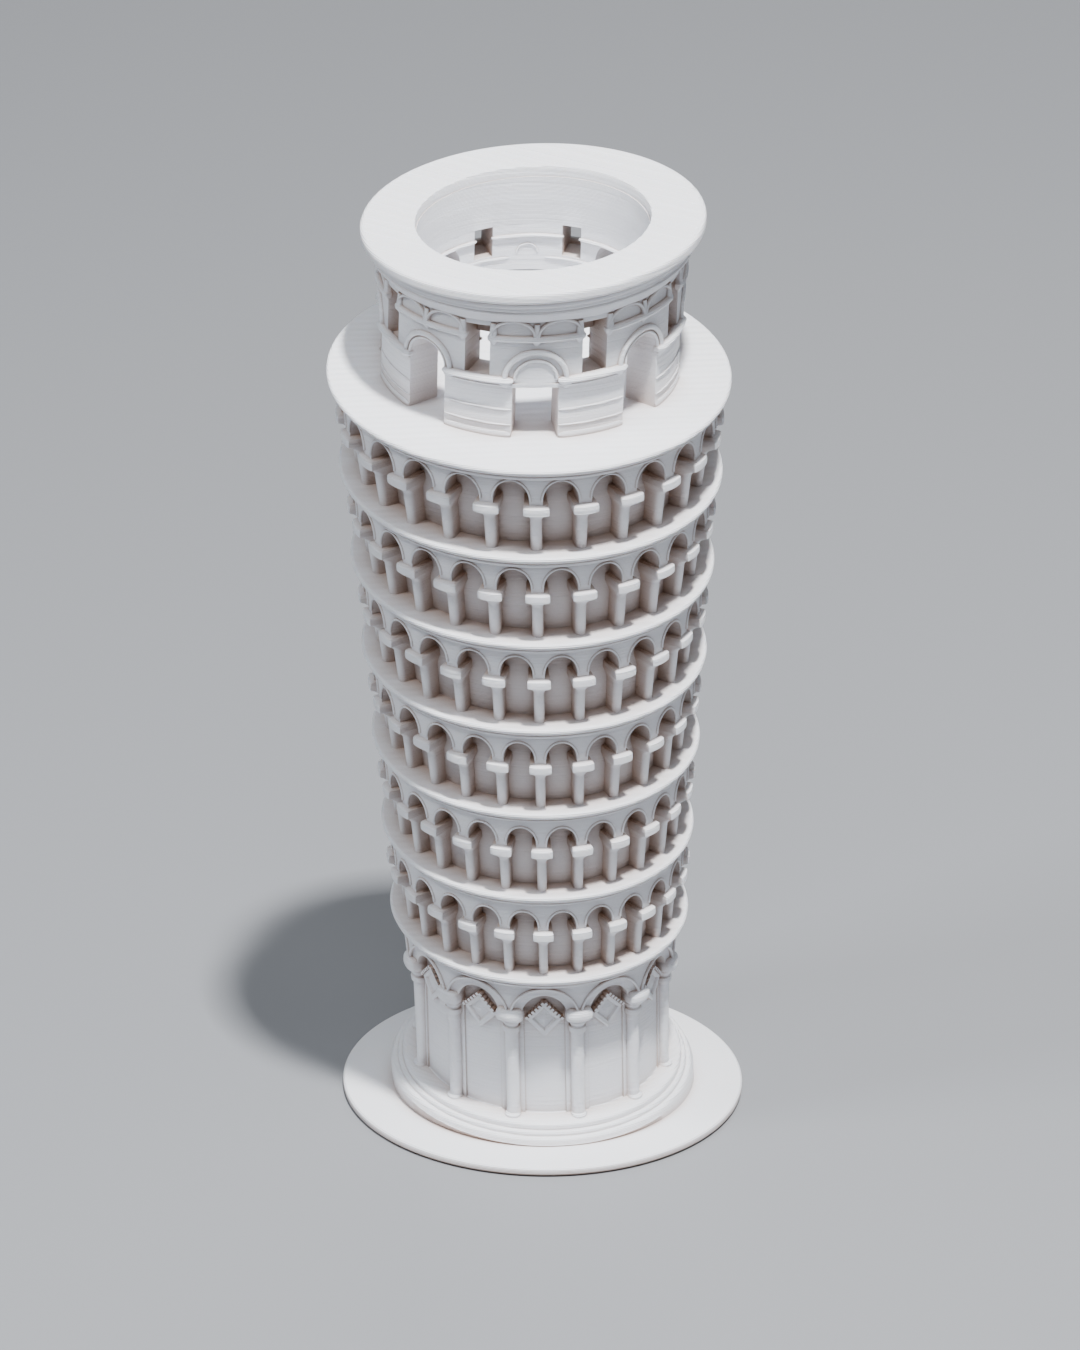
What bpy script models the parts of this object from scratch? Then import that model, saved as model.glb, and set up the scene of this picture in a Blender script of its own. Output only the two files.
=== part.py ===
"""Miniature leaning bell tower: a desk souvenir built as a stack of separate pieces.

A thin round disc lies flat. Three shallow plinth steps, a ground storey with twelve
engaged half-columns, six open galleries between seven cornice plates, and a belfry
stand on it and lean towards the front. The floors hardly tilt sideways, but each storey
is set a little to the left of the one below. Sizes are in millimetres and are turned
into metres when a mesh is made. Z points up, the front faces -Y, and the origin is the
centre of the disc's underside.
"""

import math

import bmesh
import bpy
from mathutils import Matrix, Vector

MM = 0.001
GAP = 0.3            # clearance between neighbouring pieces

# The disc and the lean
DISC_RADIUS = 30.0
DISC_HEIGHT = 1.2
DISC_EDGE = 0.3
FLOOR_LEAN = (0.016, -0.127)     # tilt of every floor: travel of its normal per unit of height
SLIP = -0.041                    # sideways travel of the storeys against that normal
BELFRY_LEAN = (-0.065, 0.043)    # further tilt of the top ring against the floors
TURN = math.radians(2.4)         # all the bays are turned a little from the front

# Storeys, measured along the leaning axis
FLOOR_1 = 33.16      # top of the first cornice plate
STOREY = 15.02       # from one cornice top to the next
GALLERIES = 6
LIP_RADIUS_1 = 22.1  # lip of the first cornice plate
FLARE = 0.867        # growth of the lip's radius from one plate to the next
SWELL = 0.044        # and how fast that growth itself grows

# Plinth
PLINTH = (("plinth_step_lower", 22.4, 5.2), ("plinth_step_middle", 21.6, 5.85),
          ("plinth_step_upper", 20.9, 6.8))   # name, radius, height of the top

# Walls and arcades, as shares of the lip's radius
DRUM_SHARE = 0.82
ARCADE_SHARE = 0.945
CORNICE_HEIGHT = 1.9
LIP_HEIGHT = 1.0
LIP_ROUND = 0.35
MOULDING_SETBACK = 0.8

GALLERY_BAYS = 24
GALLERY_COLUMN = 2.1     # width of one column
GALLERY_SPRING = 9.3     # springing of the arches above the gallery floor

GROUND_BAYS = 12
GROUND_COLUMN = 2.6
GROUND_SPRING = 26.0
GROUND_COLUMN_FRONT = 20.3

# Spigots that locate one drum, the plate above it and the next drum
SPIGOT_RADIUS = 6.0
SOCKET_DEPTH = 1.2

# Belfry
BELFRY_RADIUS = 21.4
BELFRY_BORE = 16.5
BELFRY_BACK = 1.9        # the belfry stands this far behind the deck's centre
BELFRY_WALL_TOP = 18.2
DOOR_HALF = math.radians(8.3)
DOOR_HEIGHT = 7.9
WINDOW = (math.radians(17.0), math.radians(28.0))
WINDOW_SILL = 8.9
WINDOW_HEAD = 17.1
ARCH_HALF = math.radians(9.0)
ARCH_SPRING = 9.1
BELFRY_RINGS = (("belfry_corbel_band", 22.4, 18.8, 19.9),
                ("belfry_moulding", 23.0, 20.2, 21.6),
                ("belfry_top_ring", 24.4, 21.9, 23.6))   # name, radius, foot, top

WHITE = (0.86, 0.86, 0.87, 1.0)
STEPS = 40           # facets of the round plates
DRUM_STEPS = 28


def clear_scene():
    for obj in list(bpy.data.objects):
        bpy.data.objects.remove(obj, do_unlink=True)


def white_plastic(name):
    material = bpy.data.materials.new(name + "_plastic")
    material.use_nodes = True
    shader = material.node_tree.nodes["Principled BSDF"]
    shader.inputs["Base Color"].default_value = WHITE
    shader.inputs["Roughness"].default_value = 0.55
    shader.inputs["Metallic"].default_value = 0.0
    return material


def floor_height(index):
    """Top of cornice plate number index along the axis; plate 1 is the lowest."""
    return FLOOR_1 + (index - 1) * STOREY


def lip_radius(index):
    return LIP_RADIUS_1 + FLARE * (index - 1) + SWELL * (index - 1) ** 2


def slip(height):
    """Sideways place of the axis at a height; it runs straight up from the deck on."""
    return SLIP * min(height, floor_height(GALLERIES + 1))


def lean_rotation(lean):
    return Vector((0, 0, 1)).rotation_difference(Vector((lean[0], lean[1], 1.0)))


def add_object(name, mesh, collection, parent, height):
    mesh.materials.append(white_plastic(name))
    mesh.shade_smooth()
    mesh.set_sharp_from_angle(angle=math.radians(35))
    obj = bpy.data.objects.new(name, mesh)
    collection.objects.link(obj)
    obj.parent = parent
    obj.location = (slip(height) * MM, 0, height * MM)
    return obj


def turned(name, profile, collection, parent, height, steps=STEPS):
    """A turned piece: radius and height points, down the outer side."""
    mesh = bpy.data.meshes.new(name)
    points = [(radius * MM, 0, z * MM) for radius, z in profile]
    closed = profile[0][0] > 0
    edges = [(i, i + 1) for i in range(len(points) - 1)]
    if closed:
        edges.append((len(points) - 1, 0))
    mesh.from_pydata(points, edges, [])
    obj = add_object(name, mesh, collection, parent, height)
    screw = obj.modifiers.new("turn", 'SCREW')
    screw.steps = steps
    screw.render_steps = steps
    screw.use_merge_vertices = True
    screw.merge_threshold = 0.00001
    screw.use_smooth_shade = True
    return obj


def baked_mesh(obj):
    """The object's shape with its modifiers, as a mesh of its own."""
    bpy.context.view_layer.update()
    depsgraph = bpy.context.evaluated_depsgraph_get()
    mesh = bpy.data.meshes.new_from_object(obj.evaluated_get(depsgraph))
    obj.modifiers.clear()
    return mesh


def slant(obj):
    """Leans a piece's upright walls sideways with the slip; its floors stay as they are."""
    mesh = baked_mesh(obj)
    mesh.transform(Matrix.Shear('XY', 4, (SLIP, 0.0)))
    obj.data = mesh
    return obj


def strip_ring(name, strips, inner, outer, collection, parent, height, warp=None):
    """A wall ring made of upright strips around the axis.

    Each strip is (start angle, end angle, solids), and each solid is (low at start,
    low at end, high at start, high at end). The strips close a full circle.
    warp, when given, moves a point of the finished ring.
    """
    count = len(strips)
    levels = []
    for i in range(count):
        before, after = strips[i - 1][2], strips[i][2]
        zs = {z for solid in before for z in (solid[1], solid[3])}
        zs |= {z for solid in after for z in (solid[0], solid[2])}
        levels.append(sorted(zs))
    bm = bmesh.new()
    verts = {}

    def vert(station, z, radius):
        key = (station % count, z, radius)
        if key not in verts:
            angle = strips[station % count][0]
            point = Vector((radius * math.sin(angle), -radius * math.cos(angle), z))
            verts[key] = bm.verts.new((warp(point) if warp else point) * MM)
        return verts[key]

    def between(station, low, high):
        return [z for z in levels[station % count] if low <= z <= high]

    def solid_there(index, side, low, high):
        for solid in strips[index % count][2]:
            if solid[side] <= low and high <= solid[side + 2]:
                return True
        return False

    for i, (_, _, solids) in enumerate(strips):
        for low_a, low_b, high_a, high_b in solids:
            for radius in (inner, outer):
                up = [vert(i, z, radius) for z in between(i, low_a, high_a)]
                down = [vert(i + 1, z, radius) for z in between(i + 1, low_b, high_b)]
                bm.faces.new(up + down[::-1])
            for z_a, z_b in ((low_a, low_b), (high_a, high_b)):
                bm.faces.new((vert(i, z_a, inner), vert(i + 1, z_b, inner),
                              vert(i + 1, z_b, outer), vert(i, z_a, outer)))
        for low, high in zip(levels[i], levels[i][1:]):
            if solid_there(i - 1, 1, low, high) != solid_there(i, 0, low, high):
                bm.faces.new((vert(i, low, inner), vert(i, high, inner),
                              vert(i, high, outer), vert(i, low, outer)))
    bmesh.ops.recalc_face_normals(bm, faces=bm.faces)
    mesh = bpy.data.meshes.new(name)
    bm.to_mesh(mesh)
    bm.free()
    return add_object(name, mesh, collection, parent, height)


def arch_strips(middle, half_angle, half_width, spring, top, segments):
    """Strips over a round-arched opening centred on the angle middle."""
    strips = []
    for j in range(segments):
        a = math.pi * j / segments
        b = math.pi * (j + 1) / segments
        low_a = spring + half_width * math.sin(a)
        low_b = spring + half_width * math.sin(b)
        strips.append((middle - half_angle * math.cos(a), middle - half_angle * math.cos(b),
                       ((round(low_a, 6), round(low_b, 6), top, top),)))
    return strips


def arcade(name, bays, column, spring, top, inner, outer, segments, collection, parent, height):
    """A ring of columns joined by round arches, standing on its column feet."""
    pitch = math.tau / bays
    half_column = 0.5 * column / outer
    half_arch = 0.5 * pitch - half_column
    strips = []
    for k in range(bays):
        angle = TURN + k * pitch
        strips.append((angle - half_column, angle + half_column, ((0.0, 0.0, top, top),)))
        strips += arch_strips(angle + 0.5 * pitch, half_arch, half_arch * outer,
                              spring, top, segments)
    return slant(strip_ring(name, strips, inner, outer, collection, parent, height))


def base_disc(collection):
    r, h, e = DISC_RADIUS, DISC_HEIGHT, DISC_EDGE
    profile = ((0, h), (r - e, h), (r, h - e), (r, e), (r - e, 0), (0, 0))
    return turned("base_disc", profile, collection, None, 0.0)


def plinth(collection, tower):
    """Three shallow steps square to the leaning axis; the lowest is a wedge on the disc."""
    below = 0.0
    for name, radius, top in PLINTH:
        foot = below + GAP if below else 0.0
        profile = ((0, top - foot), (radius, top - foot), (radius, 0), (0, 0))
        step = slant(turned(name, profile, collection, tower, foot))
        if not below:
            cut_flat(step, DISC_HEIGHT + GAP)
        below = top
    return below


def cut_flat(obj, height):
    """Cuts a turned piece by the level plane at this height and closes the cut."""
    mesh = baked_mesh(obj)
    bm = bmesh.new()
    bm.from_mesh(mesh)
    to_local = obj.matrix_world.inverted()
    point = to_local @ Vector((0, 0, height * MM))
    normal = (to_local.to_3x3() @ Vector((0, 0, 1))).normalized()
    result = bmesh.ops.bisect_plane(bm, geom=bm.verts[:] + bm.edges[:] + bm.faces[:],
                                    dist=1e-7, plane_co=point, plane_no=normal,
                                    clear_inner=True)
    rim = [item for item in result["geom_cut"] if isinstance(item, bmesh.types.BMEdge)]
    bmesh.ops.holes_fill(bm, edges=rim)
    bmesh.ops.recalc_face_normals(bm, faces=bm.faces)
    bm.to_mesh(mesh)
    bm.free()
    obj.data = mesh


def drum(name, radius, top_radius, foot, top, spigot, socket, collection, tower):
    """A solid drum with a spigot on top and, when wanted, a socket underneath."""
    h = top - foot
    profile = [(0, h + spigot), (SPIGOT_RADIUS, h + spigot), (SPIGOT_RADIUS, h),
               (top_radius, h), (radius, 0)]
    if socket:
        bore = SPIGOT_RADIUS + GAP
        profile += [(bore, 0), (bore, socket), (0, socket)]
    else:
        profile.append((0, 0))
    return slant(turned(name, profile, collection, tower, foot, DRUM_STEPS))


def cornice(index, collection, tower):
    """A plate with a rounded lip and a set-back moulding under it."""
    r, top = lip_radius(index), CORNICE_HEIGHT
    inner = r - MOULDING_SETBACK
    outline = [(r - LIP_ROUND, top), (r, top - 0.5 * LIP_HEIGHT), (inner, top - LIP_HEIGHT),
               (inner - 0.2, 0)]
    bore = SPIGOT_RADIUS + GAP
    if index <= GALLERIES:
        outline = [(bore, top)] + outline + [(bore, 0)]
    else:
        blind = SOCKET_DEPTH - GAP
        outline = [(0, top)] + outline + [(bore, 0), (bore, blind), (0, blind)]
    return slant(turned("cornice_%d" % index, outline, collection, tower,
                        floor_height(index) - top))


def ground_storey(plinth_top, collection, tower):
    foot = plinth_top + GAP
    top = floor_height(1) - CORNICE_HEIGHT - GAP
    radius = DRUM_SHARE * lip_radius(1)
    drum("ground_drum", radius, radius, foot, top, CORNICE_HEIGHT + GAP + SOCKET_DEPTH,
         0.0, collection, tower)
    arcade_top = top - foot
    pitch = math.tau / GROUND_BAYS
    half_column = 0.5 * GROUND_COLUMN / GROUND_COLUMN_FRONT
    strips = []
    for k in range(GROUND_BAYS):
        angle = TURN + (k + 0.5) * pitch
        strips.append((angle - half_column, angle + half_column,
                       ((0.0, 0.0, arcade_top, arcade_top),)))
        half = 0.5 * pitch - half_column
        strips += arch_strips(angle + 0.5 * pitch, half, 0.92 * half * GROUND_COLUMN_FRONT,
                              GROUND_SPRING - foot, arcade_top, 6)
    slant(strip_ring("ground_arcade", strips, radius + GAP, GROUND_COLUMN_FRONT,
                     collection, tower, foot))


def gallery(index, collection, tower):
    """The storey above cornice plate number index: a drum and its arcade."""
    foot = floor_height(index) + GAP
    top = floor_height(index + 1) - CORNICE_HEIGHT - GAP
    below, above = lip_radius(index), lip_radius(index + 1)
    spigot = CORNICE_HEIGHT + GAP + SOCKET_DEPTH
    if index == GALLERIES:
        spigot = SOCKET_DEPTH - GAP
    drum("gallery_%d_drum" % index, DRUM_SHARE * below, DRUM_SHARE * above, foot, top,
         spigot, SOCKET_DEPTH + GAP, collection, tower)
    arcade("gallery_%d_arcade" % index, GALLERY_BAYS, GALLERY_COLUMN, GALLERY_SPRING,
           top - foot, DRUM_SHARE * above + GAP, ARCADE_SHARE * above, 3,
           collection, tower, foot)


def belfry_strips():
    top = BELFRY_WALL_TOP
    full = ((0.0, 0.0, top, top),)
    over_door = ((DOOR_HEIGHT, DOOR_HEIGHT, top, top),)
    slot = ((0.0, 0.0, WINDOW_SILL, WINDOW_SILL), (WINDOW_HEAD, WINDOW_HEAD, top, top))
    near, far = WINDOW
    strips = []
    for quarter in range(4):
        a = TURN + quarter * math.pi / 2
        middle = a + math.pi / 4
        end = a + math.pi / 2
        strips.append((a - DOOR_HALF, a + DOOR_HALF, over_door))
        strips.append((a + DOOR_HALF, a + near, full))
        strips.append((a + near, a + far, slot))
        strips.append((a + far, middle - ARCH_HALF, full))
        strips += arch_strips(middle, ARCH_HALF, ARCH_HALF * BELFRY_RADIUS, ARCH_SPRING, top, 4)
        strips.append((middle + ARCH_HALF, end - far, full))
        strips.append((end - far, end - near, slot))
        strips.append((end - near, end - DOOR_HALF, full))
    return strips


def belfry(collection, tower):
    """The wall stands level on the deck and its courses tilt more towards the top ring."""
    deck = floor_height(GALLERIES + 1)
    full_tilt_height = BELFRY_RINGS[-1][2]

    def wedge(point):
        share = point.z / full_tilt_height
        drop = BELFRY_LEAN[0] * point.x + BELFRY_LEAN[1] * point.y
        return Vector((point.x, point.y, point.z - share * drop))

    wall = strip_ring("belfry_wall", belfry_strips(), BELFRY_BORE, BELFRY_RADIUS,
                      collection, tower, deck + GAP, wedge)
    wall.location.y = BELFRY_BACK * MM
    for name, radius, foot, top in BELFRY_RINGS:
        h = top - foot
        edge = 0.25 * h
        profile = ((BELFRY_BORE, h), (radius - edge, h), (radius, h - edge),
                   (radius, edge), (radius - edge, 0), (BELFRY_BORE, 0))
        ring = turned(name, profile, collection, tower, deck + foot)
        ring.location.y = BELFRY_BACK * MM
        ring.rotation_mode = 'QUATERNION'
        share = foot / full_tilt_height
        ring.rotation_quaternion = lean_rotation([share * part for part in BELFRY_LEAN])


def main():
    clear_scene()
    collection = bpy.data.collections.new("miniature_bell_tower")
    bpy.context.scene.collection.children.link(collection)
    tower = bpy.data.objects.new("tower_axis", None)
    collection.objects.link(tower)
    tower.rotation_mode = 'QUATERNION'
    tower.rotation_quaternion = lean_rotation(FLOOR_LEAN)
    base_disc(collection)
    plinth_top = plinth(collection, tower)
    ground_storey(plinth_top, collection, tower)
    for index in range(1, GALLERIES + 2):
        cornice(index, collection, tower)
    for index in range(1, GALLERIES + 1):
        gallery(index, collection, tower)
    belfry(collection, tower)


main()
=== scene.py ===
"""Looks of the miniature leaning bell tower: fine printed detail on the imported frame.

Every piece is built in the tower's own frame, in millimetres: x and y along its tilted
floors, z square to them. Solid.add moves the storeys sideways with their height, as the
frame's plates do. The frame's nodes give the tilt, the floors, and the radii of the
plates, the belfry and the disc. The finer profiles are sizes of this script's own.
"""

import math

import bmesh
import bpy
import numpy as np
from mathutils import Matrix, Vector


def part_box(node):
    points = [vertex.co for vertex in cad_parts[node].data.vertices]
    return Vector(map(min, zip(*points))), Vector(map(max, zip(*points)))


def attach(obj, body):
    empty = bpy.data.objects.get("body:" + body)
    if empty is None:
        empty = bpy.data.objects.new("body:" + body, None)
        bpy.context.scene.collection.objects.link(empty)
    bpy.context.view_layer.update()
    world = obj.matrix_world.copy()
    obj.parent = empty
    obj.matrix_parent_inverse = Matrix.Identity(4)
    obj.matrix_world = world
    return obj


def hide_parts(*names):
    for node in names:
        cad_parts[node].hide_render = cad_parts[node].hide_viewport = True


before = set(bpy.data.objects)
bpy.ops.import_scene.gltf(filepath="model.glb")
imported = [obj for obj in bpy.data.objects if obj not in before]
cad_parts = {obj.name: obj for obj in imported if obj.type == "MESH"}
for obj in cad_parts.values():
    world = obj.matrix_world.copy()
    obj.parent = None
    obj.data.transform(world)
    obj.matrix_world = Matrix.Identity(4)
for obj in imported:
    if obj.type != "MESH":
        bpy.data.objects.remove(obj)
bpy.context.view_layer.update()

MM = 0.001
TURN = math.radians(2.4)      # the bays are turned a little from the front
GALLERIES = 6
GALLERY_BAYS = 24
GROUND_BAYS = 12
GALLERY_OVAL = 1.25           # the gallery arches are this much taller than round
LAYER = 0.2                   # height of one printed layer
PLATE_STEPS = 240             # sides of a turned piece
DISC_STEPS = 300
RING_STEPS = 900              # fine enough for the printed terraces on the top ring
AXIS = 0.001                  # a turned outline stops this close to its axis
SUNK = 0.1                    # how far a wall or column runs down into its floor
BACK_OVERLAP = 0.25           # how far an arcade is let into the drum behind it
DRUM_SHARE = 0.82             # a drum's radius against that of the plate's lip


# ---------------------------------------------------------------- the frame's own sizes

def node_points(name):
    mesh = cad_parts[name].data
    points = np.zeros(len(mesh.vertices) * 3)
    mesh.vertices.foreach_get("co", points)
    return points.reshape(-1, 3) / MM


def box_middle(points):
    return Vector((points.min(0) + points.max(0)) / 2)


def floor_rotation():
    """Turns +Z onto the normal of the middle plate."""
    points = np.unique(np.round(node_points("cornice_4"), 3), axis=0)
    normal = np.linalg.svd(points - points.mean(0))[2][-1]
    normal = Vector(normal if normal[2] > 0 else -normal)
    return Vector((0, 0, 1)).rotation_difference(normal).to_matrix()


TOWER = np.array(floor_rotation())


def plate_middle(index):
    return box_middle(node_points("cornice_%d" % index) @ TOWER)


def slip_slope():
    """How far the plates move sideways for each unit of height."""
    low, high = plate_middle(1), plate_middle(GALLERIES + 1)
    return (high.x - low.x) / (high.z - low.z)


SLIP = slip_slope()
DECK = float((node_points("cornice_7") @ TOWER)[:, 2].max())


def tower_points(name):
    """A node's points in the tower's frame, with the sideways move taken out."""
    points = node_points(name) @ TOWER
    points[:, 0] -= SLIP * np.minimum(points[:, 2], DECK)
    return points


def span(name):
    """Lowest and highest point of a node along the tower's axis."""
    heights = tower_points(name)[:, 2]
    return float(heights.min()), float(heights.max())


def radius_of(name):
    points = tower_points(name)
    return float(np.hypot(points[:, 0], points[:, 1]).max())


FLOORS = [span("cornice_%d" % (k + 1))[1] for k in range(GALLERIES + 1)]
LIPS = [radius_of("cornice_%d" % (k + 1)) for k in range(GALLERIES + 1)]
PLATE = FLOORS[0] - span("cornice_1")[0]
DISC_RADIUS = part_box("base_disc")[1].x / MM
DISC_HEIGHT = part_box("base_disc")[1].z / MM
LOWEST = 0.4                  # nothing of the tower comes nearer to the disc's underside


# ---------------------------------------------------------------- mesh building

SECTION_SIDES = 10            # sides of a rounded bar
FRONT_POINTS = 9              # points round the front of a column
BAR_END = 0.55                # size of a bar's two ends against its middle


class Solid:
    """Collects closed bodies in the tower's frame and makes one piece of them."""

    def __init__(self, name, warp=None, upright=False, finish=None):
        self.name = name
        self.warp = warp
        self.finish = finish
        self.tower = not upright
        self.points = []
        self.faces = []
        self.count = 0

    def add(self, points, faces):
        points = np.asarray(points, float)
        if self.warp:
            points = self.warp(points)
        if self.tower:
            points = points + np.outer(SLIP * np.minimum(points[:, 2], DECK), (1, 0, 0))
            points = points @ TOWER.T
            points[:, 2] = np.maximum(points[:, 2], LOWEST)
        if self.finish:
            points = self.finish(points)
        self.points.append(points)
        self.faces += [tuple(i + self.count for i in face) for face in faces]
        self.count += len(points)

    def piece(self, *nodes, sharp=40):
        mesh = bpy.data.meshes.new(self.name)
        world = np.concatenate(self.points) * MM
        mesh.from_pydata(world.tolist(), [], self.faces)
        bm = bmesh.new()
        bm.from_mesh(mesh)
        bmesh.ops.recalc_face_normals(bm, faces=bm.faces)
        bm.to_mesh(mesh)
        bm.free()
        mesh.shade_smooth()
        mesh.set_sharp_from_angle(angle=math.radians(sharp))
        obj = bpy.data.objects.new(self.name, mesh)
        bpy.context.scene.collection.objects.link(obj)
        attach(obj, "root")
        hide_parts(*nodes)
        return obj


def grid_faces(rows, columns, wrap_rows=False, wrap_columns=False):
    """Quads between rows and columns of points, closed into a ring where they wrap."""
    faces = []
    for i in range(rows if wrap_rows else rows - 1):
        for j in range(columns if wrap_columns else columns - 1):
            i2, j2 = (i + 1) % rows, (j + 1) % columns
            faces.append((i * columns + j, i * columns + j2, i2 * columns + j2, i2 * columns + j))
    return faces


def polar(angle, radius, height):
    """Points round the axis; the angle counts from the front, -Y, towards +X."""
    return np.stack([radius * np.sin(angle), -radius * np.cos(angle),
                     np.broadcast_to(height, np.shape(angle))], axis=-1)


def lathe(solid, profile, steps=PLATE_STEPS):
    """Turns a closed outline of (radius, height) points into a ring."""
    profile = np.asarray(profile, float)
    angles = np.linspace(0, math.tau, steps, endpoint=False)
    points = [polar(angles, radius, height) for radius, height in profile]
    solid.add(np.concatenate(points), grid_faces(len(profile), steps, True, True))


def rounded(corner_a, corner_b, radius, arc=6):
    """An outer edge from corner_a down to corner_b, both rounded."""
    points = []
    (ra, za), (rb, zb) = corner_a, corner_b
    for j in range(arc + 1):
        t = 0.5 * math.pi * j / arc
        points.append((ra - radius + radius * math.sin(t), za - radius + radius * math.cos(t)))
    for j in range(arc + 1):
        t = 0.5 * math.pi * j / arc
        points.append((rb - radius + radius * math.cos(t), zb + radius - radius * math.sin(t)))
    return points


def loft(solid, sections):
    """A closed body through sections with the same number of points."""
    rows, columns = len(sections), len(sections[0])
    faces = grid_faces(rows, columns, False, True)
    faces.append(tuple(range(columns)))
    faces.append(tuple((rows - 1) * columns + j for j in range(columns)))
    solid.add(np.concatenate(sections), faces)


def fin(solid, angle, gauge, back, levels):
    """An upright fin with a rounded front, such as an engaged column.

    Levels are (height, half width, front radius, depth of the rounding). Widths are
    measured at the radius gauge.
    """
    turns = np.linspace(-0.5 * math.pi, 0.5 * math.pi, FRONT_POINTS)
    sections = []
    for height, half, front, depth in levels:
        across = np.concatenate([[-half], half * np.sin(turns), [half]])
        radial = np.concatenate([[back], front - depth + depth * np.cos(turns), [back]])
        sections.append(polar(angle + across / gauge, radial, height))
    loft(solid, sections)


def ellipse(half_a, half_b):
    t = np.linspace(0, math.tau, SECTION_SIDES, endpoint=False)
    return half_a * np.cos(t), half_b * np.sin(t)


def arc_bar(solid, start, end, radius, height, depth, half_height, steps):
    """A rounded bar lying along the wall at one height, narrower at its two ends."""
    out, up = ellipse(depth, half_height)
    sections = []
    for t in np.linspace(0, 1, steps + 1):
        size = BAR_END if t in (0.0, 1.0) else 1.0
        angle = start + (end - start) * t
        sections.append(polar(np.full(len(out), angle), radius + size * out, height + size * up))
    loft(solid, sections)


def arch_bar(solid, middle, gauge, spring, rise, width, radius, depth, steps=18,
             sweep=math.pi, oval=1.0):
    """A rounded moulding that follows an arch."""
    section = ellipse(0.5 * width, depth)
    arch_band(solid, middle, gauge, spring, rise, section, radius, steps, sweep, oval)


def arch_band(solid, middle, gauge, spring, rise, section, radius, steps, sweep, oval):
    """A band of any section, given as its sideways and outward points, along an arch.

    Rise is the arch's own radius, sweep is how much of it the band follows, and oval is
    its height against a round one. Widths are measured at the radius gauge.
    """
    side, out = section
    margin = 0.5 * (math.pi - sweep)
    sections = []
    for t in np.linspace(margin, math.pi - margin, steps + 1):
        across = (rise + side) * math.cos(t)
        height = spring + (oval * rise + side) * math.sin(t)
        sections.append(polar(middle + across / gauge, radius + out, height))
    loft(solid, sections)


def block(solid, angle, gauge, half, low, high, inner, outer):
    """A block on the wall, half its width to each side of an angle."""
    corners = [(-half, low), (half, low), (half, high), (-half, high)]
    across = np.array([c[0] for c in corners])
    height = np.array([c[1] for c in corners])
    loft(solid, [polar(angle + across / gauge, np.full(4, inner), height),
                 polar(angle + across / gauge, np.full(4, outer), height)])


def strip_ring(solid, strips, inner, outer):
    """A wall made of upright strips (start, end, solids) that close a full circle.

    Each of a strip's solids is (low at start, low at end, high at start, high at end).
    """
    count = len(strips)
    levels = []
    for i in range(count):
        zs = {z for s in strips[i - 1][2] for z in (s[1], s[3])}
        zs |= {z for s in strips[i][2] for z in (s[0], s[2])}
        levels.append(sorted(zs))
    index, points, faces = {}, [], []

    def vert(station, z, radius):
        key = (station % count, z, radius)
        if key not in index:
            angle = strips[station % count][0]
            index[key] = len(points)
            points.append((radius * math.sin(angle), -radius * math.cos(angle), z))
        return index[key]

    def solid_there(strip, side, low, high):
        return any(s[side] <= low and high <= s[side + 2] for s in strip[2])

    for i, (_, _, solids) in enumerate(strips):
        for low_a, low_b, high_a, high_b in solids:
            for radius in (inner, outer):
                up = [vert(i, z, radius) for z in levels[i] if low_a <= z <= high_a]
                down = [vert(i + 1, z, radius) for z in levels[(i + 1) % count]
                        if low_b <= z <= high_b]
                faces.append(tuple(up + down[::-1]))
            for z_a, z_b in ((low_a, low_b), (high_a, high_b)):
                faces.append((vert(i, z_a, inner), vert(i + 1, z_b, inner),
                              vert(i + 1, z_b, outer), vert(i, z_a, outer)))
        for low, high in zip(levels[i], levels[i][1:]):
            if solid_there(strips[i - 1], 1, low, high) != solid_there(strips[i], 0, low, high):
                faces.append((vert(i, low, inner), vert(i, high, inner),
                              vert(i, high, outer), vert(i, low, outer)))
    solid.add(points, faces)


def arch_strips(middle, half_angle, rise, spring, top, segments=20):
    """The strips of a wall over an arched opening that rises this far over its springing."""
    strips = []
    for j in range(segments):
        a, b = math.pi * j / segments, math.pi * (j + 1) / segments
        low_a = round(spring + rise * math.sin(a), 5)
        low_b = round(spring + rise * math.sin(b), 5)
        strips.append((middle - half_angle * math.cos(a), middle - half_angle * math.cos(b),
                       ((low_a, low_b, top, top),)))
    return strips


def even_strips(start, end, solids, count):
    """A plain stretch of a wall as equal strips."""
    edges = np.linspace(start, end, count + 1)
    return [(float(a), float(b), solids) for a, b in zip(edges, edges[1:])]


# ---------------------------------------------------------------- disc, plinth, cornices

def base_disc():
    solid = Solid("disc_base", upright=True)
    outline = [(AXIS, DISC_HEIGHT)]
    outline += rounded((DISC_RADIUS, DISC_HEIGHT), (DISC_RADIUS, 0.0), 0.4)
    outline.append((AXIS, 0.0))
    lathe(solid, outline, DISC_STEPS)
    return solid.piece("base_disc")


PLINTH_NODES = ("plinth_step_lower", "plinth_step_middle", "plinth_step_upper")


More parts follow.
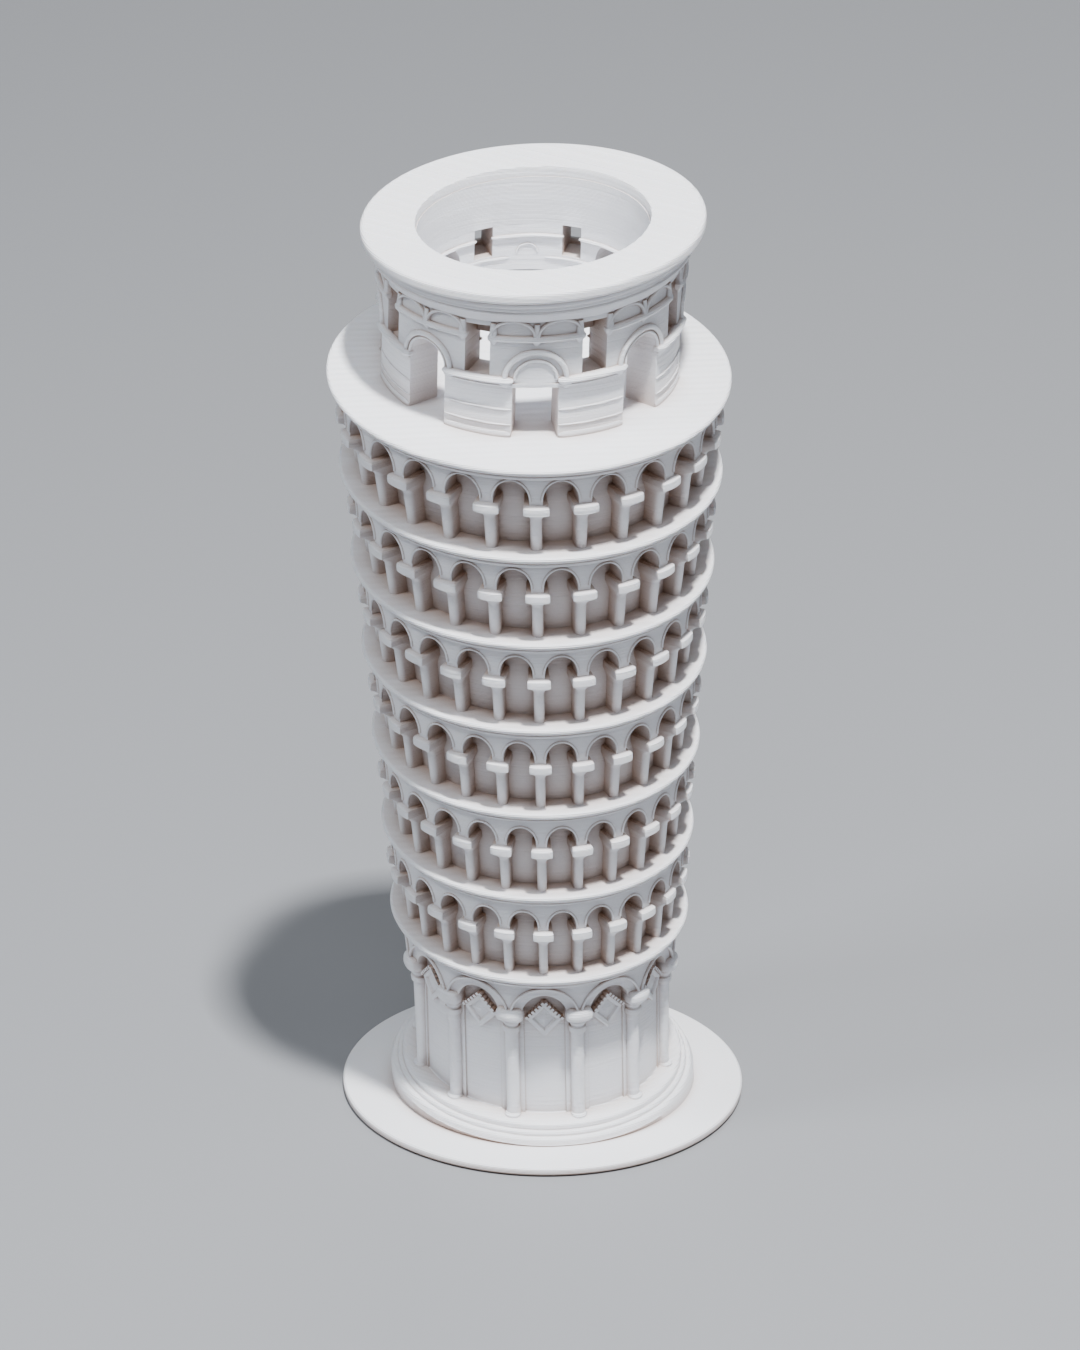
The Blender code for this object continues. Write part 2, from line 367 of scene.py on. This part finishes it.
def plinth_steps():
    """Three shallow soft steps; the lowest runs down into the disc where it leans."""
    below = -4.0
    pieces = []
    for name in PLINTH_NODES:
        radius, top = radius_of(name), span(name)[1]
        solid = Solid("course_" + name)
        outline = [(AXIS, top)]
        if name == PLINTH_NODES[-1]:
            outline += [(radius - 2.4, top + 0.35), (radius - 1.1, top + 0.08)]
        outline += [(radius - 0.6, top), (radius - 0.3, top - 0.05), (radius - 0.1, top - 0.18)]
        if name == PLINTH_NODES[0]:
            outline += [(radius + 0.02, top - 0.32), (radius + 0.1, top - 0.6),
                        (radius + 0.3, top - 0.95), (radius + 0.3, below), (AXIS, below)]
        else:
            outline += [(radius, top - 0.36), (radius + 0.02, below), (AXIS, below)]
        lathe(solid, outline)
        pieces.append(solid.piece(name))
        below = top - 0.3
    return pieces


def cornice(index):
    """A plate with a full round lip, a groove and a thin moulding under it."""
    lip, top = LIPS[index], FLOORS[index]
    low = top - PLATE
    outline = [(AXIS, top)]
    outline += rounded((lip, top), (lip - 0.1, top - 1.05), 0.45)
    outline += [(lip - 0.85, top - 1.07), (lip - 0.9, top - 1.2)]
    outline += rounded((lip - 0.62, top - 1.22), (lip - 0.75, low + 0.1), 0.24, 4)
    outline += [(lip - 1.3, low), (lip - 1.7, low - 0.5), (AXIS, low - 0.5)]
    solid = Solid("plate_%d" % (index + 1))
    lathe(solid, outline)
    return solid.piece("cornice_%d" % (index + 1))


# ---------------------------------------------------------------- galleries

FACE_SHARE = 0.955            # radius of the arches' face against that of the lips
SHAFT_SHARE = 0.915           # radius of the columns' fronts against that of the lips
PIER_HALF = 0.97              # half the wall between two arches, in the highest gallery
GALLERY_SPRING = 9.1          # height of the arches' springing over the floor
PIER_START = 8.1              # height over the floor where the wall between them begins


def gallery_column(floor, foot_front, neck_front, face):
    """The levels of a column: a foot, a shaft, a flared capital and a thick abacus."""
    return [(floor - SUNK, 1.02, foot_front + 0.05, 0.98),
            (floor + 0.4, 0.97, foot_front, 0.95),
            (floor + 5.1, 0.94, neck_front, 0.92),
            (floor + 5.4, 1.0, neck_front + 0.1, 0.94),
            (floor + 6.0, 1.24, neck_front + 0.6, 0.9),
            (floor + 6.65, 1.6, face + 0.35, 0.7),
            (floor + 6.86, 1.66, face + 0.5, 0.6),
            (floor + 6.92, 1.76, face + 0.72, 0.42),
            (floor + 7.05, 1.84, face + 0.86, 0.36),
            (floor + 7.6, 1.86, face + 0.9, 0.34),
            (floor + 8.15, 1.84, face + 0.86, 0.36),
            (floor + 8.3, 1.74, face + 0.7, 0.42),
            (floor + 8.38, 1.4, face + 0.2, 0.4),
            (floor + 8.5, 1.1, face - 0.1, 0.4)]


def gallery(index):
    """One open gallery: a drum, and a ring of columns with arches between them.

    The columns' widths go with the radius of the lips, against that of the highest lip.
    """
    floor, ceiling = FLOORS[index], FLOORS[index + 1] - PLATE
    low_lip, high_lip = LIPS[index], LIPS[index + 1]
    middle_lip = 0.5 * (low_lip + high_lip)
    wall_low, wall_high = DRUM_SHARE * low_lip, DRUM_SHARE * high_lip
    drum = Solid("wall_gallery_%d" % (index + 1))
    lathe(drum, [(AXIS, ceiling), (wall_high, ceiling), (wall_low, floor - SUNK),
                 (AXIS, floor - SUNK)])
    drum_piece = drum.piece("gallery_%d_drum" % (index + 1))

    face = FACE_SHARE * middle_lip
    pitch = math.tau / GALLERY_BAYS
    wide = middle_lip / LIPS[-1]
    arch = 0.5 * pitch * face - PIER_HALF * wide
    spring, pier_low = floor + GALLERY_SPRING, floor + PIER_START
    levels = [(z, wide * half, front, wide * depth) for z, half, front, depth
              in gallery_column(floor, SHAFT_SHARE * low_lip, SHAFT_SHARE * middle_lip, face)]
    solid = Solid("colonnade_gallery_%d" % (index + 1))
    back = wall_low - BACK_OVERLAP
    half_angle = PIER_HALF * wide / face
    strips = []
    for bay in range(GALLERY_BAYS):
        angle = TURN + bay * pitch
        middle = angle + 0.5 * pitch
        fin(solid, angle, face, back, levels)
        strips.append((angle - half_angle, angle + half_angle,
                       ((pier_low, pier_low, ceiling, ceiling),)))
        strips += arch_strips(middle, 0.5 * pitch - half_angle, GALLERY_OVAL * arch,
                              spring, ceiling)
        arch_bar(solid, middle, face, spring, arch + 0.14, 0.36, face, 0.26,
                 oval=GALLERY_OVAL)
    strip_ring(solid, strips, back, face)
    return [drum_piece, solid.piece("gallery_%d_arcade" % (index + 1))]


# ---------------------------------------------------------------- ground storey

def lozenge(solid, angle, wall, centre, half, tall):
    """A raised lozenge with a sunk middle and small teeth along its upper edges."""
    rings = ((1.0, wall - 0.2), (1.0, wall + 0.65), (0.86, wall + 0.85),
             (0.66, wall + 0.8), (0.55, wall + 0.45), (0.3, wall + 0.5), (0.15, wall + 0.7))
    corners = np.array([(half, 0), (0, tall), (-half, 0), (0, -tall)], float)
    edges = [corners[k] + (corners[(k + 1) % 4] - corners[k]) * t
             for k in range(4) for t in np.linspace(0, 1, 6, endpoint=False)]
    sections = []
    for size, radius in rings:
        points = np.array(edges) * size
        sections.append(polar(angle + points[:, 0] / wall, np.full(len(points), radius),
                              centre + points[:, 1]))
    loft(solid, sections)
    for k in (0, 1):
        a, b = corners[k], corners[k + 1]
        for j in range(6):
            spot = a + (b - a) * (j + 0.5) / 6
            tooth = polar_square(angle, wall, centre, spot, 0.3)
            loft(solid, [tooth(wall - 0.2), tooth(wall + 1.1)])


def polar_square(angle, wall, centre, spot, half):
    """A small square set on its corner at a place on the wall, for any radius."""
    across = spot[0] + np.array([half, 0, -half, 0])
    up = centre + spot[1] + np.array([0, half, 0, -half])
    return lambda radius: polar(angle + across / wall, np.full(4, radius), up)


GROUND_FACE = 20.1            # radius of the arches' face
GROUND_SPRING = 25.0          # height of the arches' springing
GROUND_ARCH = 3.5             # radius of an arch's clear opening
GROUND_OPENING = GROUND_ARCH + 1.55      # and that of the cut in the wall, behind the cove
GROUND_OVAL = 1.08            # these arches are a little taller than round
ARCH_STEPS = 28               # stretches along one of them
LOZENGE_HEIGHT = 24.3         # height of its middle


def ground_column(foot):
    """The levels of a column: a base, a shaft, two rolls, a capital and a thick abacus."""
    base = [(foot - SUNK, 1.32, 20.0, 1.1), (foot + 0.35, 1.3, 19.95, 1.1)]
    shaft = [(foot + 0.6, 1.15, 19.5, 1.1), (foot + 2.0, 1.12, 19.45, 1.1),
             (21.9, 1.1, 19.65, 1.05)]
    lower_roll = [(22.05, 1.36, 19.95, 1.1), (22.5, 1.42, 20.02, 1.1),
                  (22.85, 1.34, 19.95, 1.1)]
    neck = [(22.98, 1.12, 19.75, 1.0), (23.2, 1.1, 19.75, 1.0)]
    upper_roll = [(23.5, 1.3, 20.0, 1.05), (23.85, 1.42, 20.15, 1.05),
                  (24.1, 1.34, 20.1, 1.0), (24.2, 1.3, 20.05, 0.95)]
    abacus = [(24.35, 1.7, 20.5, 0.9), (24.6, 1.95, 20.85, 0.85), (25.0, 2.05, 21.0, 0.85),
              (25.5, 2.06, 21.0, 0.85), (25.95, 1.98, 20.9, 0.85), (26.3, 1.75, 20.6, 0.8),
              (26.5, 1.3, 20.2, 0.6)]
    return base + shaft + lower_roll + neck + upper_roll + abacus


def ground_storey():
    """The wall with its lozenges, and the blind arcade of tall columns before it."""
    foot, ceiling = span(PLINTH_NODES[-1])[1], FLOORS[0] - PLATE
    wall = DRUM_SHARE * LIPS[0]
    drum = Solid("wall_ground")
    lathe(drum, [(AXIS, ceiling), (wall, ceiling), (wall, foot + 0.5), (wall + 0.3, foot + 0.2),
                 (wall + 0.3, foot - 0.2), (AXIS, foot - 0.2)])
    solid = Solid("arcade_ground")
    face, spring = GROUND_FACE, GROUND_SPRING
    pitch = math.tau / GROUND_BAYS
    half_angle = 0.5 * pitch - GROUND_OPENING / face
    over_column = ((spring, spring, ceiling, ceiling),)
    cove = np.array([(0.9, 0.03), (0.6, -0.22), (0.1, -0.45), (-0.4, -0.55), (-0.8, -0.5),
                     (-0.85, -2.3), (0.9, -2.3)]).T
    levels = ground_column(foot)
    strips = []
    for bay in range(GROUND_BAYS):
        angle = TURN + (bay + 0.5) * pitch
        middle = angle + 0.5 * pitch
        block(solid, angle, face, 1.9, foot - SUNK, spring + 0.2, wall - 0.2, wall + 0.25)
        fin(solid, angle, face, wall - BACK_OVERLAP, levels)
        strips += even_strips(angle - half_angle, angle + half_angle, over_column, 2)
        strips += arch_strips(middle, GROUND_OPENING / face, GROUND_OVAL * GROUND_OPENING,
                              spring, ceiling, ARCH_STEPS)
        arch_band(solid, middle, face, spring, GROUND_ARCH + 0.8, cove, face, ARCH_STEPS,
                  3.0, 1.1)
        arch_bar(solid, middle, face, spring, GROUND_ARCH + 1.6, 0.42, face + 0.05, 0.32,
                 ARCH_STEPS, 2.7, GROUND_OVAL)
        lozenge(drum, middle, wall, LOZENGE_HEIGHT, 2.7, 3.1)
    strip_ring(solid, strips, wall - BACK_OVERLAP, face)
    return [drum.piece("ground_drum"), solid.piece("ground_arcade")]


# ---------------------------------------------------------------- belfry

BELFRY_MIDDLE = box_middle(tower_points("belfry_wall"))


def belfry_points(name):
    """A node's points around the belfry's own axis, which stands behind the tower's."""
    return tower_points(name) - np.array((BELFRY_MIDDLE.x, BELFRY_MIDDLE.y, 0))


def belfry_radii(name):
    """How far each of a node's points is from the belfry's own axis."""
    points = belfry_points(name)
    return np.hypot(points[:, 0], points[:, 1])


BELFRY_RADIUS = float(belfry_radii("belfry_wall").max())
BELFRY_BORE = float(belfry_radii("belfry_wall").min())
DOOR_HALF = math.radians(8.8)
ARCH_HALF = math.radians(9.0)
WINDOW_NEAR, WINDOW_FAR = math.radians(17.6), math.radians(27.6)   # from a door's middle
IMPOST_ACROSS = 4.3           # from a bay's middle to the imposts at its sides
# Heights over the deck:
DOOR_HEAD = 7.9
SILL = 8.9
ARCH_SPRING, BLIND_SPRING = SILL + 0.2, SILL + 0.1
WINDOW_HEAD = 17.1
STRING_HEIGHT = 15.35
INNER_LEDGE = 12.1
LINING = 14.0                 # inside, the slots are closed from here up
WALL_TOP = 18.0


def ring_tilt():
    """Slope of the top ring against the tower's floors, and its height in the middle."""
    points = belfry_points("belfry_top_ring")
    fit = np.linalg.lstsq(np.c_[points[:, :2], np.ones(len(points))], points[:, 2], rcond=None)[0]
    return float(fit[0]), float(fit[1]), float(fit[2])


SLOPE_X, SLOPE_Y, RING_MIDDLE = ring_tilt()
RING_HALF = 0.85
RING_HEIGHT = RING_MIDDLE - DECK


def wedge(points):
    """Courses tilt in step with their height above the deck; heights start at the deck."""
    share = np.clip(points[:, 2], 0, None) / RING_HEIGHT
    moved = points.copy()
    moved[:, 2] += DECK + share * (SLOPE_X * points[:, 0] + SLOPE_Y * points[:, 1])
    moved[:, 0] += BELFRY_MIDDLE.x
    moved[:, 1] += BELFRY_MIDDLE.y
    return moved


def belfry_wall():
    """Four doors with four arches between them, and a slot in each pier."""
    solid = Solid("wall_belfry", warp=wedge)
    top = WALL_TOP
    full = ((-SUNK, -SUNK, top, top),)
    over_door = ((DOOR_HEAD, DOOR_HEAD, top, top),)
    slot = ((-SUNK, -SUNK, SILL, SILL), (WINDOW_HEAD, WINDOW_HEAD, top, top))
    arch = ARCH_HALF * BELFRY_RADIUS
    doors = [TURN + quarter * math.pi / 2 for quarter in range(4)]
    strips = []
    for door in doors:
        middle, end = door + math.pi / 4, door + math.pi / 2
        strips += even_strips(door - DOOR_HALF, door + DOOR_HALF, over_door, 8)
        strips += even_strips(door + DOOR_HALF, door + WINDOW_NEAR, full, 4)
        strips += even_strips(door + WINDOW_NEAR, door + WINDOW_FAR, slot, 5)
        strips += even_strips(door + WINDOW_FAR, middle - ARCH_HALF, full, 4)
        strips += arch_strips(middle, ARCH_HALF, arch, ARCH_SPRING, top, 24)
        strips += even_strips(middle + ARCH_HALF, end - WINDOW_FAR, full, 4)
        strips += even_strips(end - WINDOW_FAR, end - WINDOW_NEAR, slot, 5)
        strips += even_strips(end - WINDOW_NEAR, end - DOOR_HALF, full, 4)
    strip_ring(solid, strips, BELFRY_BORE, BELFRY_RADIUS)
    rim = RING_HEIGHT - RING_HALF
    lathe(solid, [(BELFRY_BORE - 0.02, rim), (BELFRY_BORE + 1.0, rim),
                  (BELFRY_BORE + 1.0, LINING), (BELFRY_BORE - 0.02, LINING)])
    for door in doors:
        door_bay(solid, door)
        arch_bay(solid, door + math.pi / 4)
        for side in (-1, 1):
            pier_courses(solid, door, side)
    return solid.piece("belfry_wall")


def pier_courses(solid, door, side):
    """A pier between a door and an arch: a flared foot, two thin courses and a sill."""
    near, far = door + side * (DOOR_HALF + 0.004), door + side * (math.pi / 4 - ARCH_HALF - 0.004)
    start, end = min(near, far), max(near, far)
    r = BELFRY_RADIUS
    for height, depth, tall in ((0.3, 0.3, 0.6), (1.9, 0.2, 0.16), (4.3, 0.22, 0.18)):
        arc_bar(solid, start, end, r - 0.02, height, depth, tall, 12)
    arc_bar(solid, start - 0.012, end + 0.012, r + 0.1, SILL, 0.85, 0.5, 16)
    arc_bar(solid, start - 0.004, end + 0.004, r + 0.05, SILL - 0.75, 0.4, 0.32, 16)
    arc_bar(solid, start, end, BELFRY_BORE, SILL - 0.5, 0.25, 0.25, 12)


def door_bay(solid, middle):
    """A square door under a blind arch; inside, the lintel is deeper."""
    r = BELFRY_RADIUS
    sections = []
    for angle in np.linspace(middle - DOOR_HALF, middle + DOOR_HALF, 7):
        sections.append(polar(np.full(4, angle), np.array([0, 1.2, 1.2, 0]) + BELFRY_BORE,
                              np.array([6.3, 6.3, DOOR_HEAD + 0.1, DOOR_HEAD + 0.1])))
    loft(solid, sections)
    arch_bar(solid, middle, BELFRY_BORE, SILL + 0.3, 1.5, 0.35, BELFRY_BORE, 0.2, 16)
    block(solid, middle, r, 3.35, DOOR_HEAD - 0.1, DOOR_HEAD + 0.5, r - 0.3, r + 0.22)
    arch_bar(solid, middle, r, BLIND_SPRING, 4.35, 0.85, r + 0.05, 0.5, 24)
    arch_bar(solid, middle, r, BLIND_SPRING, 3.0, 0.5, r, 0.3, 22)
    for side in (-1, 1):
        impost(solid, middle + side * IMPOST_ACROSS / r)
    upper_bay(solid, middle)


def arch_bay(solid, middle):
    """The two mouldings round an open arch, and its imposts."""
    r = BELFRY_RADIUS
    arch_bar(solid, middle, r, ARCH_SPRING, ARCH_HALF * r + 0.85, 0.85, r + 0.05, 0.5, 24)
    arch_bar(solid, middle, r, ARCH_SPRING, ARCH_HALF * r + 0.12, 0.4, r, 0.28, 24)
    for side in (-1, 1):
        impost(solid, middle + side * IMPOST_ACROSS / r)
    upper_bay(solid, middle)


def impost(solid, angle):
    """A small corbelled block that an arch springs from."""
    r = BELFRY_RADIUS
    fin(solid, angle, r, r - 0.4,
        [(SILL - 1.3, 0.35, r + 0.1, 0.2), (SILL - 0.8, 0.7, r + 0.4, 0.4),
         (SILL - 0.45, 1.0, r + 0.72, 0.5), (SILL, 1.12, r + 0.85, 0.5),
         (SILL + 0.3, 1.0, r + 0.7, 0.5), (SILL + 0.45, 0.7, r + 0.45, 0.4)])


def upper_bay(solid, middle):
    """The string course over a bay, its small capitals and two small blind arches."""
    r = BELFRY_RADIUS
    half = WINDOW_NEAR + 0.012
    arc_bar(solid, middle - half, middle + half, r + 0.1, STRING_HEIGHT, 0.72, 0.46, 18)
    arc_bar(solid, middle - half, middle + half, BELFRY_BORE, INNER_LEDGE, 0.45, 0.3, 18)
    for place in (-0.93, 0.0, 0.93):
        angle = middle + place * WINDOW_NEAR
        fin(solid, angle, r, r - 0.4,
            [(STRING_HEIGHT - 1.1, 0.3, r + 0.12, 0.2), (STRING_HEIGHT - 0.6, 0.55, r + 0.4, 0.35),
             (STRING_HEIGHT - 0.3, 0.75, r + 0.66, 0.4), (STRING_HEIGHT + 0.2, 0.8, r + 0.72, 0.4),
             (STRING_HEIGHT + 0.45, 0.6, r + 0.5, 0.4), (WALL_TOP - 0.4, 0.4, r + 0.35, 0.3)])
    for side in (-0.5, 0.5):
        arch_bar(solid, middle + side * WINDOW_NEAR, r, STRING_HEIGHT + 0.4,
                 0.5 * WINDOW_NEAR * r - 0.28, 0.5, r + 0.12, 0.42, 18, oval=0.78)


def belfry_rings():
    """The corbelled band over the wall, the moulding on it and the flat top ring."""
    corbels = Solid("band_belfry_corbels", warp=wedge)
    r = BELFRY_RADIUS
    inner = BELFRY_BORE + 0.6
    lathe(corbels, [(inner, 20.05), (r + 1.3, 20.05), (r + 1.5, 19.8), (r + 1.45, 19.45),
                    (r + 1.2, 19.2), (r + 0.85, 18.7), (r + 0.5, 18.2), (r + 0.2, 17.9),
                    (r - 0.2, 17.7), (r - 0.2, 17.8), (inner, 17.8)])
    moulding = Solid("moulding_belfry", warp=wedge)
    outline = [(inner, 21.95), (r + 1.3, 21.95)]
    outline += rounded((r + 1.95, 21.7), (r + 1.95, 20.7), 0.4)
    outline += [(r + 1.6, 20.3), (r + 1.3, 20.0), (inner, 20.0)]
    lathe(moulding, outline)
    return [corbels.piece("belfry_corbel_band"), moulding.piece("belfry_moulding"), top_ring()]


RAMP_SHARE = 0.14             # the part of a layer's height that its edge takes up


def terrace(height):
    """The height rounded to printed layers, with a short ramp between two of them."""
    level = height / LAYER
    whole = np.floor(level)
    ramp = np.clip((level - whole - (1 - RAMP_SHARE)) / RAMP_SHARE, 0, 1)
    return (whole + ramp * ramp * (3 - 2 * ramp)) * LAYER


def top_ring():
    """The flat ring: its tilted top is stepped by the level printed layers."""
    outer = float(belfry_radii("belfry_top_ring").max())
    inner = BELFRY_BORE + 0.12
    low, high = RING_HEIGHT - RING_HALF, RING_HEIGHT + RING_HALF
    edge = 0.55
    rim = rounded((outer, high), (outer, low), edge, 8)
    flat = [(radius, high) for radius in np.linspace(inner + 0.25, outer - edge, 60)[:-1]]
    outline = [(inner, high - 0.25), (inner + 0.07, high - 0.07)] + flat + rim + [(inner, low)]
    first, last = 2 * RING_STEPS, (2 + len(flat)) * RING_STEPS

    def stepped(points):
        points[first:last, 2] = terrace(points[first:last, 2])
        return points

    solid = Solid("ring_belfry_top", warp=wedge, finish=stepped)
    lathe(solid, outline, RING_STEPS)
    return solid.piece("belfry_top_ring", sharp=60)


# ---------------------------------------------------------------- material

WAVER = 0.00012               # m, how far a layer line strays from level
RELIEF_DEPTH = 0.0001         # m
SHADE_TINT_REACH = 0.008          # m, how near other walls have to be for the painted shade to darken a hollow
# painted shade: the warm brown given to hollows in place of their shadow and the light bounced
# inside them
PAINTED_SHADE_COLOUR = (0.38, 0.25, 0.18, 1)
OPEN_COLOUR = (0.87, 0.885, 0.93, 1)


def printed_plastic(name, strength):
    """White printed plastic. Fine level layer lines with uneven bands run round it, small
    faults are scattered over them, and hollows are darkened to a warm brown as painted shade."""
    material = bpy.data.materials.new(name)
    material.use_nodes = True
    nodes, links = material.node_tree.nodes, material.node_tree.links
    shader = nodes["Principled BSDF"]
    place = nodes.new("ShaderNodeTexCoord")

    def math_node(kind, a, b=None):
        node = nodes.new("ShaderNodeMath")
        node.operation = kind
        for socket, value in zip(node.inputs, (a, b)):
            if value is None:
                continue
            if isinstance(value, (int, float)):
                socket.default_value = value
            else:
                links.new(value, socket)
        return node.outputs[0]

    def noise(scale, detail):
        node = nodes.new("ShaderNodeTexNoise")
        node.inputs["Scale"].default_value = scale
        node.inputs["Detail"].default_value = detail
        return node

    along = nodes.new("ShaderNodeSeparateXYZ")
    links.new(place.outputs["Object"], along.inputs[0])
    wobble = noise(60.0, 2.0)
    links.new(place.outputs["Object"], wobble.inputs["Vector"])
    shift = math_node('MULTIPLY', wobble.outputs["Fac"], WAVER)
    height = math_node('ADD', along.outputs["Z"], shift)
    layers = math_node('SINE', math_node('MULTIPLY', height, math.tau / (LAYER * MM)))
    bands = noise(2200.0, 2.0)
    bands.noise_dimensions = '1D'
    links.new(height, bands.inputs["W"])
    grain = noise(2600.0, 3.0)
    links.new(place.outputs["Object"], grain.inputs["Vector"])
    relief = math_node('ADD', math_node('MULTIPLY', layers, 0.35),
                       math_node('MULTIPLY', grain.outputs["Fac"], 0.5))
    relief = math_node('ADD', relief, math_node('MULTIPLY', bands.outputs["Fac"], 2.2))
    bump = nodes.new("ShaderNodeBump")
    bump.inputs["Strength"].default_value = strength
    bump.inputs["Distance"].default_value = RELIEF_DEPTH
    links.new(relief, bump.inputs["Height"])
    links.new(bump.outputs["Normal"], shader.inputs["Normal"])

    # painted shade: occlusion turns the colour of hollows towards the warm brown, in place of their
    # shadow
    shade_occlusion = nodes.new("ShaderNodeAmbientOcclusion")
    shade_occlusion.samples = 8
    shade_occlusion.inputs["Distance"].default_value = SHADE_TINT_REACH
    ramp = nodes.new("ShaderNodeValToRGB")
    ramp.color_ramp.elements[0].position = 0.15
    ramp.color_ramp.elements[0].color = PAINTED_SHADE_COLOUR
    ramp.color_ramp.elements[1].position = 0.8
    ramp.color_ramp.elements[1].color = OPEN_COLOUR
    links.new(shade_occlusion.outputs["AO"], ramp.inputs["Fac"])
    # the painted shade, multiplied by the faint tone of the layer lines
    shade_and_layer_tone = nodes.new("ShaderNodeMix")
    shade_and_layer_tone.data_type = 'RGBA'
    shade_and_layer_tone.blend_type = 'MULTIPLY'
    shade_and_layer_tone.inputs["Factor"].default_value = 1.0
    links.new(ramp.outputs["Color"], shade_and_layer_tone.inputs[6])
    tone = math_node('MULTIPLY_ADD', layers, 0.012)
    tone.node.inputs[2].default_value = 0.988
    blend = nodes.new("ShaderNodeCombineColor")
    for channel in ("Red", "Green", "Blue"):
        links.new(tone, blend.inputs[channel])
    links.new(blend.outputs["Color"], shade_and_layer_tone.inputs[7])
    links.new(shade_and_layer_tone.outputs[2], shader.inputs["Base Color"])
    rough = math_node('MULTIPLY_ADD', grain.outputs["Fac"], 0.2)
    rough.node.inputs[2].default_value = 0.42
    links.new(rough, shader.inputs["Roughness"])
    shader.inputs["IOR"].default_value = 1.46
    shader.inputs["Subsurface Weight"].default_value = 0.12
    shader.inputs["Subsurface Radius"].default_value = (1.0, 0.75, 0.55)
    shader.inputs["Subsurface Scale"].default_value = 0.0012
    return material


# ---------------------------------------------------------------- stage, light, camera

FLOOR_SIZE, FLOOR_DROP = 6.0, 0.0002         # m; the drop keeps it clear of the disc


def stage():
    bpy.ops.mesh.primitive_plane_add(size=FLOOR_SIZE, location=(0, 0, -FLOOR_DROP))
    floor = bpy.context.object
    floor.name = "studio_floor"
    material = bpy.data.materials.new("pale_floor")
    material.use_nodes = True
    shader = material.node_tree.nodes["Principled BSDF"]
    shader.inputs["Base Color"].default_value = (0.26, 0.27, 0.29, 1)
    shader.inputs["Roughness"].default_value = 0.5
    floor.data.materials.append(material)


def area_light(name, place, target, size, power, colour=(1, 1, 1)):
    data = bpy.data.lights.new(name, 'AREA')
    data.size = size
    data.energy = power
    data.color = colour
    light = bpy.data.objects.new(name, data)
    light.location = place
    light.rotation_euler = (Vector(target) - Vector(place)).to_track_quat('-Z', 'Y').to_euler()
    bpy.context.scene.collection.objects.link(light)


def lights():
    aim = (0, 0, 0.08)
    area_light("key_overhead", (0.13, -0.45, 1.25), aim, 0.07, 40.0, (1.0, 0.99, 0.98))
    area_light("soft_front", (-0.1, -0.85, 0.95), aim, 0.5, 3.4, (0.93, 0.96, 1.0))
    area_light("side_left", (-0.75, -0.45, 1.0), aim, 0.25, 7.5, (0.92, 0.96, 1.0))
    area_light("side_right", (0.9, -0.35, 0.55), aim, 0.5, 1.4, (0.95, 0.97, 1.0))
    area_light("back_rim", (0.2, 0.9, 0.6), aim, 0.6, 1.4)
    world = bpy.data.worlds.new("soft_room")
    world.use_nodes = True
    world.node_tree.nodes["Background"].inputs["Color"].default_value = (0.85, 0.88, 0.95, 1)
    world.node_tree.nodes["Background"].inputs["Strength"].default_value = 0.05
    bpy.context.scene.world = world


CAMERA_BACK, CAMERA_UP = 35.627, 18.585      # in radii of the base disc
CAMERA_PITCH, CAMERA_PAN, CAMERA_ROLL = 0.430, -0.001, 0.011     # radians
SENSOR, LENS = 36.0, 213.3                   # mm


def camera():
    data = bpy.data.cameras.new("studio_camera")
    data.sensor_width = SENSOR
    data.lens = LENS
    data.clip_start, data.clip_end = 0.01, 20.0
    unit = DISC_RADIUS * MM
    forward = Vector((math.sin(CAMERA_PAN) * math.cos(CAMERA_PITCH),
                      math.cos(CAMERA_PAN) * math.cos(CAMERA_PITCH), -math.sin(CAMERA_PITCH)))
    right = Vector((math.cos(CAMERA_PAN), -math.sin(CAMERA_PAN), 0))
    up = right.cross(forward)
    rolled_right = math.cos(CAMERA_ROLL) * right + math.sin(CAMERA_ROLL) * up
    rolled_up = math.cos(CAMERA_ROLL) * up - math.sin(CAMERA_ROLL) * right
    turn = Matrix((rolled_right, rolled_up, -forward)).transposed()
    obj = bpy.data.objects.new("studio_camera", data)
    obj.matrix_world = Matrix.Translation((0, -CAMERA_BACK * unit, CAMERA_UP * unit)) @ turn.to_4x4()
    bpy.context.scene.collection.objects.link(obj)
    bpy.context.scene.camera = obj


def main():
    pieces = [base_disc()] + plinth_steps() + ground_storey()
    pieces += [cornice(k) for k in range(GALLERIES + 1)]
    for k in range(GALLERIES):
        pieces += gallery(k)
    pieces.append(belfry_wall())
    pieces += belfry_rings()
    plastic = printed_plastic("printed_white", 0.8)
    for piece in pieces:
        piece.data.materials.append(plastic)
    stage()
    lights()
    camera()


main()
